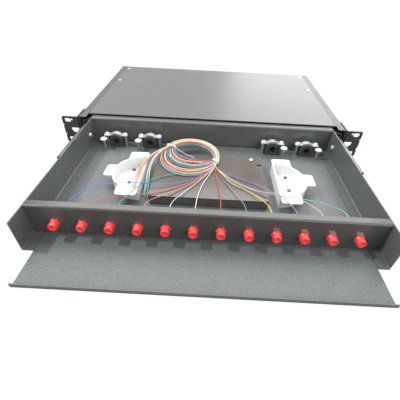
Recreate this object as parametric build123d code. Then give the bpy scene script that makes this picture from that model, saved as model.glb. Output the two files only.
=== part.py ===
from build123d import *
import os

# A one-unit sliding fibre patch drawer for a 19 inch rack, in millimetres.
# The origin is on the underside, midway between the sides, in the front plane of the rack ears.
# X runs to the right as seen from the front, Y to the rear, Z up. The drawer is pulled out.

# Rack unit
rack_span = 482.6
case_height = 43.8

# Rack ears
rack_pitch = 31.75
rack_slot_inset = 8.75
rack_centres = rack_span - 2 * rack_slot_inset
ear_gauge = 2.0
ear_reach = 26.3
ear_leg = 34.0
ear_corner = 3.0
rack_slot_length = 10.0
rack_slot_width = 6.5
ear_pilot_d = 3.5
ear_pilot_x = rack_span / 2 - 15.3
ear_pilot_z = case_height - 4.8
ear_latch_r = 6.25
ear_latch_x = rack_span / 2 - 17.7
ear_latch_z = case_height / 2 + 1.3
ear_latch_flat = 2.3
ear_nick_r = 1.5
ear_nick_pitch = 16.0

# Case
case_width = rack_span - 2 * ear_reach
case_front = 3.0
case_rear = 288.5
gauge = 1.2
bend = 1.8
strip_width = 12.0
cover_setback = 15.0
cover_gap = 0.4
ledge_width = 16.0
cover_screw_ys = (190.0, 272.0)
cover_screw_inset = 7.0

# Drawer
drawer_lift = 0.4
slide_room = 18.7
drawer_outer = case_width - 2 * slide_room
wall_top = case_height - 2.8
panel_front = -216.0
cheek_reach = 27.0
shelf_reach = 74.0
shelf_inset = 13.3
shelf_width = drawer_outer - 2 * shelf_inset
lip_height = 6.4
rear_wall_y = 6.0
fold = 10.0
fit = 0.1

# Slides
slide_length = 208.0
slide_z = case_height / 2 - 0.9
slide_web_gap = 1.1
outer_half = case_height / 2 - 4.9
middle_half = outer_half - 4.0
inner_half = middle_half - 4.2
outer_depth = 8.4
middle_depth = 7.5
inner_depth = 7.4
cage_length = 90.0
cage_gap = 0.3
cage_web = 0.5
spacer_length = 24.0
spacer_height = 18.0
spacer_ys = (62.0, 172.0)
slide_screw_ys = (-14.0, -200.0)

# Fibre adapters
adapter_count = 12
adapter_margin = 16.3
adapter_pitch = (drawer_outer - 2 * adapter_margin) / adapter_count
adapter_z = case_height / 2 - 0.9
collar_flats = 12.6
collar_thick = 1.0
ring_nut_flats = 11.0
ring_nut_thick = 2.0
barrel_d = 8.0
barrel_bore = 5.0
barrel_front = 7.2
barrel_rear = 11.5
panel_hole_d = 8.4
cap_d = 10.6
cap_tip_d = 10.0
cap_bore_d = 8.6
cap_wall = 1.4
cap_gap = 0.3
nut_d = 10.0
nut_length = 12.0
boot_tip_y = -184.0
boot_d = 5.6
boot_tip_d = 2.4

# Splice tray
tray_width = 154.0
tray_front = -156.0
tray_rear = -51.0
tray_top = 14.5
tray_wall = 2.0
tray_floor = 1.6
lid_thick = 1.5
tray_screw_x = tray_width / 2 - 16.0
tray_screw_bite = 8.0
tray_screw_inset = 6.5
lid_hole_x = tray_width / 2 - 4.7
lid_hole_y = -71.0
lid_hole_length = 7.0
lid_hole_width = 4.0
comb_slots = 12
comb_pitch = 4.0
comb_depth = 30.0
comb_height = 8.0

# Fibre spools
spool_radius = 41.5
spool_tray_gap = 14.0
spool_chord_x = tray_width / 2 + spool_tray_gap
spool_y = -109.0
spool_rim = 19.5
spool_wall = 1.8
spool_floor = 2.4
tab_thick = 1.6
tab_reach = 10.5
tab_width = 27.0
mid_tab_reach = 10.5
mid_tab_width = 26.0
mid_tab_y = 1.0
tab_corner = 4.0
spool_hole_x = 19.5
spool_hole_ys = (24.5, 4.0, -6.5)
spool_screwed = (24.5, -6.5)

# Cable clamps and strength-member posts
clamp_inset = 41.8
clamp_step = 55.2
clamp_outer_x = drawer_outer / 2 - clamp_inset
clamp_inner_x = clamp_outer_x - clamp_step
clamp_xs = (-clamp_outer_x, -clamp_inner_x, clamp_inner_x, clamp_outer_x)
clamp_screw_bite = 7.0
clamp_y = -8.0
clamp_screw_pitch = 28.9
pillar_d = 6.4
pillar_top = 20.5
rubber_width = 21.6
rubber_depth = 14.5
rubber_bore_d = 10.0
rubber_axis = 9.9
rubber_groove_d = 16.0
rubber_groove = 1.0
saddle_gauge = 1.5
saddle_depth = 9.0
saddle_length = 37.0
saddle_gap = 0.2
post_step = 17.4
post_xs = [x + (post_step if x > 0 else -post_step) for x in clamp_xs]
post_y = -20.0
post_d = 6.0
post_top = 17.5
post_cap_d = 10.5
post_cap_height = 3.4

# Cable entries
entry_xs = clamp_xs
entry_z = case_height / 2
entry_hole_d = 26.0
entry_bore_d = 19.0
grommet_lip = 1.5
grommet_rim = 2.0
small_hole_d = 15.0
small_bore_d = 10.0

# Pigtail fibres. Each runs from its plug's boot to a shared coil on the splice tray's lid.
fibre_d = 0.9
fibre_gap = 0.3
coil_centre = (-28.0, -50.0)
coil_step = 30
coil_inner_radii = (37.0, 30.5, 27.5, 27.0, 27.5, 29.0, 31.5, 25.0, 20.5, 16.5, 16.0, 23.0)
coil_outer_radii = (45.5, 41.0, 38.5, 38.0, 39.0, 41.0, 42.5, 46.0, 53.5, 59.0, 60.5, 54.0)
coil_front_height = 2.5
coil_rear_height = 6.6
coil_join_y = -78.0
coil_join_x = 8.2
slot_step = 0.235
slot_layers = 4
slot_layer_height = 0.96
tie_angles = (-30.0, 156.0)
tie_width = 3.0
tie_thick = 0.6
tail_bundle_d = 3.4

# Each fibre's run between its boot and the coil: its place in the coil's start, its straight
# length out of the boot, and the points that it lies through, from left to right.
lead_routes = (
    (10, 8.0, ((-158, -163, 21), (-144, -149, 21), (-120, -140, 21), (-98, -137, 21.3), (-76, -136, 20.2),
               (-50, -132.5, 18), (-24.3, -119.4, 17.5), (-6, -101.7, 17.7))),
    (9, 6.5, ((-130, -170.5, 19.3), (-117, -164, 16.4), (-95, -158, 16.4), (-75, -153.5, 17.4),
              (-58, -146, 17.4), (-40, -135, 17.5), (-20.9, -121.8, 17.5), (-4.8, -102.3, 17.6))),
    (None, 6.0, ((-102.8, -171, 20.8), (-99.3, -161.5, 20.4), (-95.2, -152, 20.2), (-90.6, -142.5, 20.1),
                 (-84.5, -132, 19), (-74, -121.5, 17.9), (-61, -112.5, 17.5), (-50, -108, 17.4),
                 (-40, -107, 17.4))),
    (8, 6.5, ((-69.5, -169, 20.6), (-57, -158, 19), (-39, -142.5, 17.8), (-18.9, -123.1, 17.5),
              (-3.7, -102.8, 17.2))),
    (7, 7.0, ((-41, -166, 20.4), (-31, -147, 18.4), (-16.2, -124.6, 17.5), (-2.5, -103.3, 18.4))),
    (6, 8.0, ((-14.3, -162, 20.2), (-12.3, -146, 18.4), (-9, -127.6, 17.5), (0, -104.1, 18.1))),
    (5, 8.0, ((15.3, -162, 20.2), (14, -146, 18.4), (11.7, -129.7, 17.5), (8.7, -104.9, 17.6))),
    (4, 7.0, ((42, -164, 20.4), (35, -146.5, 18.4), (24.4, -126.7, 17.5), (13.8, -103.9, 17.2))),
    (3, 6.5, ((71.5, -165.5, 20.3), (62, -149.5, 18.9), (47, -134.5, 17.7), (30, -124.1, 17.5),
              (16.7, -102.8, 18.4))),
    (0, 6.5, ((103, -171, 20.8), (98.5, -160.5, 20.3), (92.3, -149.5, 20.05), (85.5, -142.5, 19.3),
              (78, -135, 18.3), (64, -122, 17.6), (40, -109.5, 17.5), (21.9, -99.7, 17.2))),
    (2, 6.5, ((130, -171, 21.2), (118, -158.5, 22), (108, -151.5, 22.2), (97, -147.5, 22.2),
              (84, -145.3, 21.7), (73, -142.5, 20.5), (62, -138.9, 18.7), (35, -123.5, 17.7),
              (18.2, -102.1, 18.1))),
    (1, 7.0, ((159.5, -170, 21), (149, -163.5, 21.1), (135, -157.5, 21.1), (117, -153, 21.1),
              (100, -150.5, 21.1), (86, -147.5, 20.6), (73, -143, 19.2), (62, -136.8, 17.6),
              (38, -121.2, 17.5), (19.6, -101.3, 17.6))),
)

# The fibres' bare ends leave the coil in two bundles: one lies in the left spool, the other beside it.
tail_routes = (
    ((-64.5, -37.8, 20.6), (-70.2, -44.7, 21.6), (-81, -58, 23), (-90, -74, 23.3), (-96, -90, 23),
     (-99.5, -104, 18), (-101, -116, 11), (-101.5, -128, 8), (-102, -139, 7.5)),
    ((-61.5, -40.2, 20.6), (-67.2, -47.1, 21.2), (-76, -59, 21.8), (-82, -73, 20.5), (-84, -88, 15),
     (-84.3, -100, 10), (-84.2, -112, 6.8), (-84.5, -125, 5), (-84, -137, 4.9)),
)

# Screws: head diameter, head height, thread diameter
m4_screw = (7.2, 2.3, 4.0)
m3_screw = (5.6, 1.9, 3.0)
hole_gap = 0.1

# Places that follow from the sizes above
case_half = case_width / 2
case_inner = case_half - gauge
strip_inner = case_half - strip_width
cover_front = case_front + cover_setback
drawer_bottom = gauge + drawer_lift
floor_top = drawer_bottom + gauge
drawer_half = drawer_outer / 2
wall_inner = drawer_half - gauge
cheek_front = panel_front - cheek_reach
shelf_front = panel_front - shelf_reach
shelf_half = shelf_width / 2
drawer_rear = rear_wall_y + gauge + fold
travel = -panel_front
slide_outer_front = case_front
slide_middle_front = slide_outer_front - travel / 2
slide_inner_front = slide_outer_front - travel
inner_web = drawer_half + gauge / 2
middle_web = inner_web + inner_depth + gauge / 2 + 2 * cage_gap + 0.6 + gauge / 2
outer_web = middle_web + gauge + slide_web_gap
outer_face = outer_web + gauge / 2
adapter_xs = [adapter_pitch * (i - (adapter_count - 1) / 2) for i in range(adapter_count)]
lid_top = tray_top + lid_thick


def block(x0, x1, y0, y1, z0, z1):
    """A rectangular block between two corners."""
    middle = Pos((x0 + x1) / 2, (y0 + y1) / 2, (z0 + z1) / 2)
    return middle * Box(abs(x1 - x0), abs(y1 - y0), abs(z1 - z0))


def along_y(face, y0, y1):
    """A face drawn in (x, z), made solid from y0 to y1."""
    return Pos(0, y1, 0) * (Rot(90, 0, 0) * extrude(face, amount=y1 - y0))


def along_x(face, x0, x1):
    """A face drawn in (y, z), made solid from x0 to x1."""
    return Pos(x0, 0, 0) * (Rot(0, 0, 90) * Rot(90, 0, 0) * extrude(face, amount=x1 - x0))


def folded(points, thick=gauge):
    """The section of a folded sheet, from the corners of its centre line."""
    return trace(FilletPolyline(*points, radius=bend), line_width=thick)


def rod_y(x, z, diameter, y0, y1):
    """A round bar or hole along Y."""
    return along_y(Pos(x, z) * Circle(diameter / 2), y0, y1)


def rod_z(x, y, diameter, z0, z1):
    """A round bar or hole along Z."""
    return Pos(x, y, z0) * extrude(Circle(diameter / 2), amount=z1 - z0)


def turned(outline):
    """A solid of revolution about Z from an outline in (radius, height)."""
    face = make_face(Polyline(*outline, close=True))
    return revolve(Rot(90, 0, 0) * face, Axis.Z)


def pan_screw(size, length):
    """A pan-head screw with its thread pointing down and its head standing on z = 0."""
    head_d, head_h, thread_d = size
    outline = [
        (0, -length),
        (thread_d / 2, -length),
        (thread_d / 2, 0),
        (head_d / 2, 0),
        (head_d / 2, head_h * 0.55),
        (head_d / 2 - head_h * 0.45, head_h),
        (0, head_h),
    ]
    return turned(outline)


def both_sides(solid):
    """A piece and its mirror image on the other side."""
    return [solid, mirror(solid, about=Plane.YZ)]


def save(name, *solids):
    """Writes one node, made of one solid or of a group of like solids."""
    whole = solids[0] if len(solids) == 1 else Compound(children=list(solids))
    export_step(whole, f"parts/{name}.step")


def case_base():
    """The case's pan: floor, sides with inward top strips, rear wall and ledges for the cover."""
    side_x = case_half - gauge / 2
    top_z = case_height - gauge / 2
    corners = [(strip_inner, top_z), (side_x, top_z), (side_x, gauge / 2)]
    mirrored = [(-x, z) for x, z in reversed(corners)]
    pan = along_y(folded(corners + mirrored), case_front, case_rear)
    pan += block(-case_inner, case_inner, case_rear - gauge, case_rear, gauge / 2, case_height - gauge)
    ledge_z = case_height - gauge
    for side in (-1, 1):
        inner_edge = side * (strip_inner + 1 - ledge_width)
        outer_edge = side * (strip_inner + 1)
        pan += block(inner_edge, outer_edge, cover_front, case_rear - gauge / 2, ledge_z - gauge, ledge_z)
        for y in cover_screw_ys:
            x = side * (strip_inner - cover_screw_inset)
            pan -= rod_z(x, y, m3_screw[2] + 2 * hole_gap, ledge_z - 2 * gauge, ledge_z + gauge)
        for y, z in ear_screw_places():
            hole = Circle(m4_screw[2] / 2 + hole_gap)
            pan -= along_x(Pos(y, z) * hole, side * case_half - gauge * 2, side * case_half + gauge)
        for y in spacer_ys:
            hole = Circle(m4_screw[2] / 2 + hole_gap)
            pan -= along_x(Pos(y, slide_z) * hole, side * case_half - gauge * 2, side * case_half + gauge)
    for x in entry_xs:
        pan -= rod_y(x, entry_z, entry_hole_d, case_rear - 2 * gauge, case_rear + gauge)
    return pan


def case_cover():
    """The flat top cover, set back from the front and countersunk for its screws."""
    half = strip_inner - cover_gap
    cover = block(-half, half, cover_front, case_rear, case_height - gauge, case_height)
    for x, y in cover_screw_places():
        sink = turned([(0, -gauge), (m3_screw[2] / 2 + hole_gap, -gauge), (3.0 + hole_gap, 0), (0, 0)])
        cover -= Pos(x, y, case_height) * sink
    return cover


def cover_screw_places():
    x = strip_inner - cover_screw_inset
    return [(side * x, y) for side in (-1, 1) for y in cover_screw_ys]


def cover_screws():
    """Short countersunk screws, flush with the cover and with the ledge under it."""
    r = m3_screw[2] / 2
    outline = [(0, -2 * gauge), (r, -2 * gauge), (r, -gauge), (3.0, 0), (0, 0)]
    return [Pos(x, y, case_height) * turned(outline) for x, y in cover_screw_places()]


def ear_screw_places():
    y = ear_leg * 0.6
    return [(y, case_height * share) for share in (0.2, 0.5, 0.8)]


def rack_ear():
    """The right-hand mounting ear, an angle bracket on the outside of the case."""
    inner = case_half + ear_gauge / 2
    line = [(inner, ear_leg), (inner, ear_gauge / 2), (rack_span / 2, ear_gauge / 2)]
    ear = extrude(folded(line, ear_gauge), amount=case_height)
    tips = ear.edges().filter_by(Axis.Y).sort_by(Axis.X)[-2:]
    ear = fillet(tips, ear_corner)
    mid = case_height / 2
    cut = Pos(ear_pilot_x, ear_pilot_z) * Circle(ear_pilot_d / 2)
    for side in (-1, 1):
        place = Pos(rack_centres / 2, mid + side * rack_pitch / 2)
        cut += place * SlotOverall(rack_slot_length, rack_slot_width)
        cut += Pos(rack_span / 2, mid + side * ear_nick_pitch / 2) * Circle(ear_nick_r)
    latch = Circle(ear_latch_r) - Pos(0, ear_latch_flat + ear_latch_r) * Rectangle(4 * ear_latch_r, 2 * ear_latch_r)
    cut += Pos(ear_latch_x, ear_latch_z) * latch
    ear -= along_y(cut, -ear_gauge, 2 * ear_gauge)
    for y, z in ear_screw_places():
        hole = Pos(y, z) * Circle(m4_screw[2] / 2 + hole_gap)
        ear -= along_x(hole, case_half - 1, case_half + 2 * ear_gauge)
    return ear


def ear_screws():
    """Screws that hold the right-hand ear to the case's side."""
    screw = Rot(0, 90, 0) * pan_screw(m4_screw, ear_gauge + gauge + 2.0)
    return [Pos(case_half + ear_gauge, y, z) * screw for y, z in ear_screw_places()]


def slide_section(web, half, depth, opens):
    """A channel in (x, z): its web's middle plane, half height and depth, and the way it opens."""
    tip = web + opens * depth
    low, high = slide_z - half, slide_z + half
    return folded([(tip, low), (web, low), (web, high), (tip, high)])


def slide_outer():
    """The right-hand outer slide member, fixed in the case."""
    section = slide_section(outer_web, outer_half, outer_depth, -1)
    rail = along_y(section, slide_outer_front, slide_outer_front + slide_length)
    for y in spacer_ys:
        hole = Pos(y, slide_z) * Circle(m4_screw[2] / 2 + hole_gap)
        rail -= along_x(hole, outer_web - gauge, outer_web + gauge)
    return rail


def slide_middle():
    """The right-hand middle member, which runs out half as far as the drawer."""
    section = slide_section(middle_web, middle_half, middle_depth, -1)
    return along_y(section, slide_middle_front, slide_middle_front + slide_length)


def slide_inner():
    """The right-hand inner member, screwed to the drawer's side."""
    section = slide_section(inner_web, inner_half, inner_depth, 1)
    rail = along_y(section, slide_inner_front, slide_inner_front + slide_length)
    for y in slide_screw_ys:
        hole = Pos(y, slide_z) * Circle(m4_screw[2] / 2 + hole_gap)
        rail -= along_x(hole, inner_web - gauge, inner_web + gauge)
    return rail


def cage(section_points, centre):
    """A ball cage, symmetric above and below the slide's middle."""
    upper = [(x, 2 * slide_z - z) for x, z in reversed(section_points)]
    face = make_face(Polyline(*section_points, *upper, close=True))
    return along_y(face, centre - cage_length / 2, centre + cage_length / 2)


def ball_cage_outer():
    """The cage between the outer and middle members."""
    low = slide_z - outer_half + gauge / 2 + cage_gap
    high = slide_z - middle_half - gauge / 2 - cage_gap
    tip = outer_web - outer_depth + 0.6
    web_in = middle_web + gauge / 2 + cage_gap
    web_out = web_in + cage_web
    corner = web_out - 1.9
    points = [
        (web_in, high + 1.6),
        (web_in - 1.6, high),
        (tip, high),
        (tip, low),
        (corner, low),
        (web_out, low + 1.9),
    ]
    centre = (slide_outer_front + slide_middle_front + slide_length) / 2
    return cage(points, centre)


def ball_cage_inner():
    """The cage between the middle and inner members."""
    low = slide_z - middle_half + gauge / 2 + cage_gap
    high = slide_z - inner_half - gauge / 2 - cage_gap
    tip = inner_web + 2.3
    web_in = inner_web + inner_depth + cage_gap
    web_out = middle_web - gauge / 2 - cage_gap
    points = [
        (web_in, high),
        (tip, high),
        (tip, low),
        (web_out - 1.8, low),
        (web_out, low + 1.8),
    ]
    centre = (slide_middle_front + slide_inner_front + slide_length) / 2
    return cage(points, centre)


def slide_spacers():
    """Spacers that pack the right-hand outer member off the case's side."""
    solids = []
    for y in spacer_ys:
        spacer = block(
            outer_face, case_inner,
            y - spacer_length / 2, y + spacer_length / 2,
            slide_z - spacer_height / 2, slide_z + spacer_height / 2,
        )
        hole = Pos(y, slide_z) * Circle(m4_screw[2] / 2 + hole_gap)
        solids.append(spacer - along_x(hole, outer_face - 1, case_inner + 1))
    return solids


def case_slide_screws():
    """Screws through the case's right side and the spacers into the outer member."""
    length = case_half - (outer_web - gauge / 2) - hole_gap
    screw = Rot(0, 90, 0) * pan_screw(m4_screw, length)
    return [Pos(case_half, y, slide_z) * screw for y in spacer_ys]


def drawer_slide_screws():
    """Screws from inside the drawer into the right-hand inner member."""
    screw = Rot(0, -90, 0) * pan_screw(m4_screw, 2 * gauge)
    return [Pos(wall_inner, y, slide_z) * screw for y in slide_screw_ys]


def drawer_floor():
    """The drawer's floor, which runs forward as a narrower shelf with an upturned lip."""
    floor = block(-drawer_half, drawer_half, cheek_front, drawer_rear, drawer_bottom, floor_top)
    mid = drawer_bottom + gauge / 2
    lip_y = shelf_front + gauge / 2
    section = folded([(cheek_front + 1, mid), (lip_y, mid), (lip_y, drawer_bottom + lip_height)])
    floor += along_x(section, -shelf_half, shelf_half)
    for side in (-1, 1):
        for y in spool_screwed:
            x = side * (spool_chord_x + spool_hole_x)
            floor -= rod_z(x, spool_y + y, m3_screw[2] + 2 * hole_gap, 0, floor_top + 1)
    return floor


def side_section(thick=gauge):
    """The right side's section: a wall with an inward foot that lies on the floor."""
    foot_z = floor_top + gauge / 2
    wall_x = drawer_half - gauge / 2
    return folded([(shelf_half, foot_z), (wall_x, foot_z), (wall_x, wall_top)], thick)


def drawer_side():
    """The right side of the drawer, with its cheek in front of the adapter panel."""
    side = along_y(side_section(), cheek_front, rear_wall_y - fit)
    for y in slide_screw_ys:
        hole = Pos(y, slide_z) * Circle(m4_screw[2] / 2 + hole_gap)
        side -= along_x(hole, wall_inner - 1, drawer_half + 1)
    return side


def drawer_rear_wall():
    """The drawer's rear wall, folded back at the top and the foot, with a hole behind each clamp."""
    y = rear_wall_y + gauge / 2
    foot, top = floor_top + gauge / 2, wall_top - gauge / 2
    section = folded([(drawer_rear, top), (y, top), (y, foot), (drawer_rear, foot)])
    wall = along_x(section, -drawer_half, drawer_half)
    for x in clamp_xs:
        wall -= rod_y(x, floor_top + rubber_axis, small_hole_d, rear_wall_y - 1, rear_wall_y + gauge + 1)
        relief = small_hole_d / 2 + grommet_rim + 1
        wall -= block(x - relief, x + relief, rear_wall_y + gauge, drawer_rear + 1, 0, foot + bend + 1)
    return wall


def adapter_panel():
    """The adapter panel, folded back at the top and the foot, notched over the sides' feet."""
    y = panel_front + gauge / 2
    back = panel_front + fold
    foot, top = floor_top + gauge / 2, wall_top - gauge / 2
    section = folded([(back, top), (y, top), (y, foot), (back, foot)])
    half = wall_inner - fit
    panel = along_x(section, -half, half)
    notch = along_y(side_section(gauge + 2 * fit), panel_front - 1, back + 1)
    notch += block(shelf_half - fit, drawer_half, panel_front - 1, back + 1, drawer_bottom, foot)
    for side_notch in both_sides(notch):
        panel -= side_notch
    for x in adapter_xs:
        panel -= rod_y(x, adapter_z, panel_hole_d, panel_front - 1, panel_front + gauge + 1)
    return panel


def hexagon(flats):
    return RegularPolygon(flats / 2, 6, major_radius=False)


def fc_adapter():
    """One adapter at x = 0: a hexagonal collar behind the panel and a barrel through it."""
    inside = panel_front + gauge
    adapter = along_y(Pos(0, adapter_z) * hexagon(collar_flats), inside, inside + collar_thick)
    front = panel_front - ring_nut_thick - barrel_front
    adapter += rod_y(0, adapter_z, barrel_d, front, inside + barrel_rear)
    adapter -= rod_y(0, adapter_z, barrel_bore, front - 1, front + barrel_front)
    return adapter


def adapter_nut():
    """The nut at x = 0 that holds an adapter against the panel's front."""
    ring = hexagon(ring_nut_flats) - Circle(barrel_d / 2 + hole_gap)
    return along_y(Pos(0, adapter_z) * ring, panel_front - ring_nut_thick, panel_front)


def dust_cap():
    """One dust cap at x = 0, a tapered cup over the adapter's front barrel."""
    length = barrel_front + cap_gap + cap_wall
    outer, tip, bore = cap_d / 2, cap_tip_d / 2, cap_bore_d / 2
    outline = [
        (bore, 0),
        (outer, 0),
        (tip, length - 0.8),
        (tip - 0.8, length),
        (0, length),
        (0, length - cap_wall),
        (bore, length - cap_wall),
    ]
    return Pos(0, panel_front - ring_nut_thick - cap_gap, adapter_z) * (Rot(90, 0, 0) * turned(outline))


def pigtail_connector():
    """One plug at x = 0: coupling nut over the rear barrel, body and tapered boot."""
    start = panel_front + gauge + 1.3
    bore = barrel_d / 2 + hole_gap
    depth = barrel_rear - 1.3 + cap_gap
    boot_start = nut_length + 4.0
    reach = boot_tip_y - start
    outline = [
        (bore, 0),
        (nut_d / 2, 0),
        (nut_d / 2, nut_length),
        (boot_d / 2 + 0.5, nut_length),
        (boot_d / 2 + 0.5, boot_start),
        (boot_d / 2, boot_start),
        (boot_tip_d / 2, reach),
        (0, reach),
        (0, depth),
        (bore, depth),
    ]
    return Pos(0, start, adapter_z) * (Rot(-90, 0, 0) * turned(outline))


def tray_screw_places():
    return [(side * tray_screw_x, tray_rear - tray_screw_inset) for side in (-1, 1)]


def splice_tray():
    """The splice tray's tub, with screw bosses, fibre notches and a comb for the splices."""
    half = tray_width / 2
    mid_y = (tray_front + tray_rear) / 2
    depth = tray_rear - tray_front
    outer = Pos(0, mid_y) * RectangleRounded(tray_width, depth, 4.0)
    inner = Pos(0, mid_y) * RectangleRounded(tray_width - 2 * tray_wall, depth - 2 * tray_wall, 2.5)
    tub = Pos(0, 0, floor_top) * extrude(outer, amount=tray_top - floor_top)
    tub -= Pos(0, 0, floor_top + tray_floor) * extrude(inner, amount=tray_top)
    for x, y in tray_screw_places():
        tub += rod_z(x, y, 7.0, floor_top, tray_top)
        tub -= rod_z(x, y, m3_screw[2] + 2 * hole_gap, floor_top + tray_floor, tray_top + 1)
    for side in (-1, 1):
        for y in (tray_front + 12, tray_rear - 12):
            x = side * half
            tub -= block(x - 3, x + 3, y - 5, y + 5, tray_top - 6, tray_top + 1)
    comb_half = comb_slots * comb_pitch / 2
    comb = block(-comb_half - 1, comb_half + 1, mid_y - comb_depth / 2, mid_y + comb_depth / 2,
                 floor_top + tray_floor, floor_top + tray_floor + comb_height)
    for i in range(comb_slots):
        x = comb_pitch * (i - (comb_slots - 1) / 2)
        comb -= block(x - 1.3, x + 1.3, mid_y - comb_depth, mid_y + comb_depth,
                      floor_top + tray_floor + 2, tray_top)
    return tub + comb


def splice_tray_lid():
    """The tray's flat lid."""
    mid_y = (tray_front + tray_rear) / 2
    plate = Pos(0, mid_y) * RectangleRounded(tray_width, tray_rear - tray_front, 4.0)
    for x, y in tray_screw_places():
        plate -= Pos(x, y) * Circle(m3_screw[2] / 2 + hole_gap)
    for side in (-1, 1):
        plate -= Pos(side * lid_hole_x, lid_hole_y) * SlotOverall(lid_hole_length, lid_hole_width)
    return Pos(0, 0, tray_top) * extrude(plate, amount=lid_thick)


def tray_screws():
    screw = pan_screw(m3_screw, lid_thick + tray_screw_bite)
    return [Pos(x, y, lid_top) * screw for x, y in tray_screw_places()]


def spool_outline(inset=0.0):
    """A half-round outline with its straight side on x = 0, drawn in by an inset."""
    disc = Circle(spool_radius - inset)
    return disc & Pos(spool_radius + inset, 0) * Rectangle(2 * spool_radius, 2 * spool_radius)


def fibre_spool():
    """The right-hand half-round spool, a walled dish with three outward tongues at its rim."""
    outer, inner = spool_outline(), spool_outline(spool_wall)
    wall_height = spool_rim - floor_top
    spool = extrude(outer, amount=wall_height)
    spool -= Pos(0, 0, spool_floor) * extrude(inner, amount=wall_height)
    reach_y = spool_radius + tab_reach
    tabs = Sketch()
    for side in (-1, 1):
        root = spool_radius * 0.7
        tabs += Pos(tab_width / 2, side * (reach_y + root) / 2) * RectangleRounded(
            tab_width, reach_y - root, tab_corner)
    reach_x = spool_radius + mid_tab_reach
    tabs += Pos((reach_x + spool_radius * 0.8) / 2, mid_tab_y) * RectangleRounded(
        reach_x - spool_radius * 0.8, mid_tab_width, tab_corner)
    tabs -= inner
    spool += Pos(0, 0, wall_height - tab_thick) * extrude(tabs, amount=tab_thick)
    for y in spool_hole_ys:
        spool -= rod_z(spool_hole_x, y, m3_screw[2] + 2 * hole_gap, -1, spool_floor + 1)
    return Pos(spool_chord_x, spool_y, floor_top) * spool


def spool_screws():
    """Screws through the right-hand spool's floor into the drawer's floor."""
    screw = pan_screw(m3_screw, spool_floor + gauge)
    x = spool_chord_x + spool_hole_x
    return [Pos(x, spool_y + y, floor_top + spool_floor) * screw for y in spool_screwed]


def clamp_sides():
    return [(x, side * clamp_screw_pitch / 2) for x in clamp_xs for side in (-1, 1)]


def clamp_pillars():
    """The threaded pillars that carry the clamps' saddles."""
    solids = []
    for x, step in clamp_sides():
        pillar = rod_z(x + step, clamp_y, pillar_d, floor_top, pillar_top)
        bore = rod_z(x + step, clamp_y, m3_screw[2] + 2 * hole_gap, pillar_top - 9, pillar_top + 1)
        solids.append(pillar - bore)
    return solids


def clamp_rubber(x):
    """A rubber block with a round top and a bore for the cable."""
    axis = floor_top + rubber_axis
    half = rubber_width / 2
    face = Pos(x, axis) * Circle(half)
    face += Pos(x, (floor_top + axis) / 2) * Rectangle(rubber_width, rubber_axis)
    face &= Pos(x, floor_top + rubber_width) * Rectangle(rubber_width, 2 * rubber_width)
    face -= Pos(x, axis) * Circle(rubber_bore_d / 2)
    front = clamp_y - rubber_depth / 2
    rubber = along_y(face, front, front + rubber_depth)
    ring = Circle(rubber_groove_d / 2) - Circle(rubber_groove_d / 2 - rubber_groove)
    return rubber - along_y(Pos(x, axis) * ring, front - 1, front + rubber_groove)


def clamp_saddle(x):
    """A strap with a hump over the rubber block and a hole for a screw at each end."""
    axis = floor_top + rubber_axis
    inside = rubber_width / 2 + saddle_gap
    hump = Pos(x, axis) * Circle(inside + saddle_gauge)
    hump &= Pos(x, pillar_top + rubber_width / 2) * Rectangle(saddle_length, rubber_width)
    face = hump + Pos(x, pillar_top + saddle_gauge / 2) * Rectangle(saddle_length, saddle_gauge)
    face -= Pos(x, axis) * Circle(inside)
    saddle = along_y(face, clamp_y - saddle_depth / 2, clamp_y + saddle_depth / 2)
    for side in (-1, 1):
        hole_x = x + side * clamp_screw_pitch / 2
        saddle -= rod_z(hole_x, clamp_y, m3_screw[2] + 2 * hole_gap, pillar_top - 1, pillar_top + 3)
    return saddle


def clamp_screws():
    screw = pan_screw((6.4, 2.4, m3_screw[2]), saddle_gauge + clamp_screw_bite)
    top = pillar_top + saddle_gauge
    return [Pos(x + step, clamp_y, top) * screw for x, step in clamp_sides()]


def strength_posts():
    """Pillars that the cables' strength members are tied to."""
    return [rod_z(x, post_y, post_d, floor_top, post_top) for x in post_xs]


def post_caps():
    """Round domed heads on the pillars."""
    r, h = post_cap_d / 2, post_cap_height
    outline = [(0, 0), (r - 0.5, 0), (r, 0.6), (r, h * 0.5), (r - 1.4, h - 0.5), (r - 3.0, h), (0, h)]
    return [Pos(x, post_y, post_top) * turned(outline) for x in post_xs]


def grommet(hole_d, bore_d, centre_y):
    """A rubber edge grommet along Y in a sheet, at x = z = 0."""
    r, out, inside = hole_d / 2, hole_d / 2 + grommet_rim, bore_d / 2
    half = gauge / 2
    outline = [
        (inside, -half - grommet_lip),
        (out, -half - grommet_lip),
        (out, -half),
        (r - hole_gap, -half),
        (r - hole_gap, half),
        (out, half),
        (out, half + grommet_lip),
        (inside, half + grommet_lip),
    ]
    return Pos(0, centre_y, 0) * (Rot(90, 0, 0) * turned(outline))


def polar(radius, angle):
    """A point in plan at a radius and an angle about the coil's centre."""
    spot = Vector(radius, 0, 0).rotate(Axis.Z, angle)
    return (coil_centre[0] + spot.X, coil_centre[1] + spot.Y)


def coil_edge(radii, margin):
    """A closed smooth outline through radii at equal steps of angle."""
    points = [polar(r + margin, coil_step * (i - 1)) for i, r in enumerate(radii)]
    return make_face(Spline(*points, periodic=True))


def coil_radii(angle):
    """The coil's inner and outer radius at an angle."""
    share = (angle / coil_step + 1) % len(coil_inner_radii)
    first, part = int(share), share - int(share)
    after = (first + 1) % len(coil_inner_radii)
    return [
        radii[first] * (1 - part) + radii[after] * part
        for radii in (coil_inner_radii, coil_outer_radii)
    ]


def coil_top(y):
    """The height of the coil's top, which rises to the rear."""
    share = (y + 112.0) / 100.0
    return lid_top + fibre_gap + coil_front_height + share * (coil_rear_height - coil_front_height)


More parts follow.
